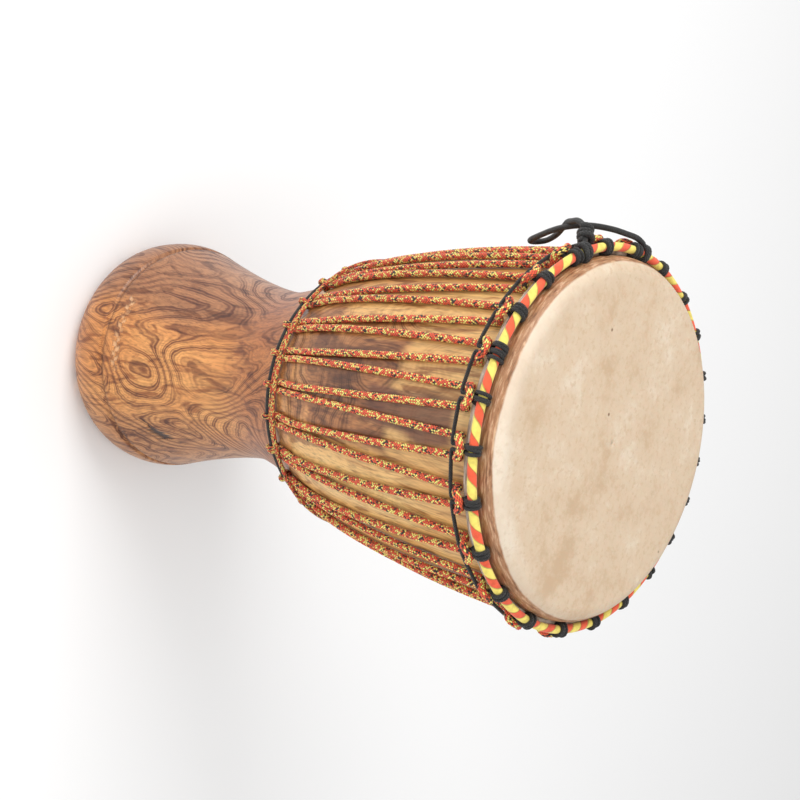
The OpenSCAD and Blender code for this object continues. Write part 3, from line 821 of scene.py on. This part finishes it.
# %% Lay the rope
ROPE_D = 5.0
ROPE_TUBE, ROPE_STEP = (ROPE_D / 2 - 0.2) * MM, 1.15 * MM
TURN_HALF = 6.6
LASH_D = 3.0
turn_r = leg_r + (LOOP_D + ROPE_D) / 2 + 0.1
tuck_r = leg_r * math.cos(math.pi / HITCHES) - (LOOP_D + ROPE_D) / 2 - 0.4
turn_points = [(TURN_HALF * 0.68, turn_r, crown_z - 8), (TURN_HALF, turn_r - 2.3, crown_z - 11),
               (TURN_HALF + 0.4, tuck_r + 1.8, span_z + 4.2), (TURN_HALF + 0.2, tuck_r, span_z - 0.5)]
PAIR_Z, PAIR_HALF = 300.0, ROPE_D / 2 + 0.4
foot_turn_z = waist_z + TAPE_R + 0.05 + LASH_D + ROPE_D / 2 + 0.3
down_heights = np.arange(crown_z - 30, PAIR_Z + 19.9, -33)


def rope_r(z):
    return float(wood_r(z)) + ROPE_D / 2 + 0.6


def down_leg(top, foot, s):
    line = [at(r, top, z, s * side) for side, r, z in turn_points]
    for z in down_heights:
        share = min(1, (crown_z - 20 - z) / (crown_z - 20 - PAIR_Z))
        a = (top + math.degrees(s * TURN_HALF / crown_r)) * (1 - share)
        a += (foot - math.degrees(s * PAIR_HALF / wood_r(z))) * share
        line.append(at(rope_r(z), a, z))
    for z in (PAIR_Z, (PAIR_Z + foot_turn_z) / 2 + 2, foot_turn_z + 4):
        line.append(at(rope_r(z), foot, z, -s * PAIR_HALF))
    return line


rope_parts = []
for i in range(HITCHES):
    top, foot, after = hitch_angle(i), waist_angle(i), hitch_angle(i + 1)
    rope_parts.append([at(turn_r, top, crown_z - 6.5)] + down_leg(top, foot, 1)
                      + [at(rope_r(foot_turn_z), foot, foot_turn_z)] + down_leg(after, foot, -1)[::-1])
route = [p for part in rope_parts for p in part]
rope_line = smooth(route, 5, True)
part_len = len(rope_line) // 3
for k in range(3):
    part = rope_line[k * part_len:(k + 1) * part_len + 1]
    if k == 2:
        part = np.vstack([rope_line[2 * part_len:], rope_line[:1]])
    rope = cord_piece(f"tension_rope_{'abc'[k]}", [part], ROPE_TUBE, ROPE_STEP, 0.3 * MM, 16, rope_braid)
    if k == 0:
        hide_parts("tension_rope")
print("tension rope", round(length_of(rope_line), 2), "m")

# %% [markdown]
# Both ends of the rope come out at the back of the drum, where they are tied in one stopper knot over
# a pair: three turns wound outwards, with the two cut ends pointing along the pair.

# %% Tie the rope's ends
knot_low, knot_high = (np.array(corner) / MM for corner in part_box("rope_end_knot"))
knot_mid = (knot_low + knot_high) / 2
knot_a = math.degrees(math.atan2(knot_mid[1], knot_mid[0]))
knot_r = math.hypot(knot_mid[0], knot_mid[1])
END_R, END_STEPS, END_TALL = 2.6, 48, 8
end_line = [at(knot_r, knot_a, knot_mid[2] - END_TALL, -1)]
for k in range(END_STEPS + 1):
    a = k / END_STEPS * KNOT_TURNS * math.tau
    end_z = knot_mid[2] + (k / END_STEPS - 0.5) * END_TALL
    end_line.append(at(knot_r + END_R * math.cos(a), knot_a, end_z, END_R * math.sin(a)))
end_line.append(at(knot_r, knot_a, knot_mid[2] + END_TALL, 1))
end_knot = cord_piece("rope_end_knot_tied", [smooth(end_line, 3)], ROPE_TUBE, ROPE_STEP, 0.25 * MM, 16,
                      rope_braid)
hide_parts("rope_end_knot")

# %% [markdown]
# ## The waist
# At the waist a red and yellow cord is hitched round the taped ring at each pair of ropes, runs along
# the ring between the hitches, and goes once round over the pairs to hold them down.

# %% Tie the waist cord
LASH_TUBE = (LASH_D / 2 - 0.12) * MM
lash_mid = TAPE_R + 0.05 + LASH_D / 2
waist_lines = []
for i in range(HITCHES):
    turns_here = hitch_turns(WAIST_R / MM, waist_z, waist_angle(i), lash_mid, LASH_D * 1.1, 2, 160.0)
    waist_lines.append(smooth(turns_here, 2))
waist_ties = cord_piece("waist_hitches_tied", waist_lines, LASH_TUBE, 1.0 * MM, 0.2 * MM, 12, rope_braid)
over_z = foot_turn_z + 5.5
lash_lines = [ring_line((rope_r(over_z) + (ROPE_D + LASH_D) / 2 + 0.3) * MM, over_z * MM)]
lash_over = cord_piece("waist_lashing_over", lash_lines, LASH_TUBE, 1.0 * MM, 0.2 * MM, 12, rope_braid, True)
lash_lines = [ring_line(WAIST_R + 1.2 * MM, WAIST_Z + lash_mid * MM)]
lash_along = cord_piece("waist_lashing_along", lash_lines, LASH_TUBE, 1.0 * MM, 0.2 * MM, 12, rope_braid,
                        True)
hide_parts("waist_hitches")
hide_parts("waist_lashing")

# %% [markdown]
# ## The steel rings
# The three rings are plain round bar. Almost nothing of them shows, so they keep the frame's mesh.

# %% Finish the steel
steel, steel_tree, steel_shader = surface("Mild steel bar, drawn and dulled", Metallic=1.0, Roughness=0.45)
spot = add(steel_tree, "ShaderNodeTexCoord", out="Object")
rust = add(steel_tree, "ShaderNodeTexNoise", {"Vector": spot, "Scale": 120.0, "Detail": 5.0})
steel_tone = ramp(steel_tree, rust, [(0.45, "8C8A88"), (0.7, "6A5748")])
steel_tree.links.new(steel_tone, steel_shader.inputs["Base Color"])
steel_tree.links.new(ramp(steel_tree, rust, [(0.4, 0.35), (0.7, 0.7)]), steel_shader.inputs["Roughness"])
for name in ("flesh_hoop", "crown_ring", "waist_ring"):
    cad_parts[name].data.materials.clear()
    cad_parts[name].data.materials.append(steel)

# %% [markdown]
# ## Floor and light
# A pale floor and soft light from large panels, as in a small studio.

# %% Light the drum
floor_mesh = bpy.data.meshes.new("floor")
floor_mesh.from_pydata([(-6, -6, 0), (6, -6, 0), (6, 6, 0), (-6, 6, 0)], [], [(0, 1, 2, 3)])
floor = bpy.data.objects.new("floor", floor_mesh)
bpy.context.scene.collection.objects.link(floor)
paper, _, paper_shader = surface("White paper sweep", Roughness=0.9)
paper_shader.inputs["Base Color"].default_value = (0.92, 0.92, 0.92, 1)
floor_mesh.materials.append(paper)


def panel(name, place, target, size, power):
    light = bpy.data.lights.new(name, "AREA")
    light.shape = "RECTANGLE"
    light.size, light.size_y = size
    light.energy = power
    lamp = bpy.data.objects.new(name, light)
    bpy.context.scene.collection.objects.link(lamp)
    lamp.location = place
    lamp.rotation_euler = (Vector(target) - Vector(place)).to_track_quat("-Z", "Y").to_euler()


panel("key", (-1.5, -0.7, 1.5), (0, 0, 0.3), (1.0, 1.4), 26)
panel("fill", (1.4, -1.3, 1.0), (0, 0, 0.25), (1.4, 1.2), 8)
panel("rim", (-0.7, -1.9, 0.35), (0, 0, 0.3), (0.9, 0.5), 6)
panel("top", (0.1, -0.2, 2.0), (0, 0, 0.4), (1.2, 1.2), 6)
world = bpy.data.worlds.new("studio")
world.use_nodes = True
world.node_tree.nodes["Background"].inputs["Color"].default_value = (1, 1, 1, 1)
world.node_tree.nodes["Background"].inputs["Strength"].default_value = 0.7
bpy.context.scene.world = world
bpy.context.scene.view_settings.view_transform = "Standard"
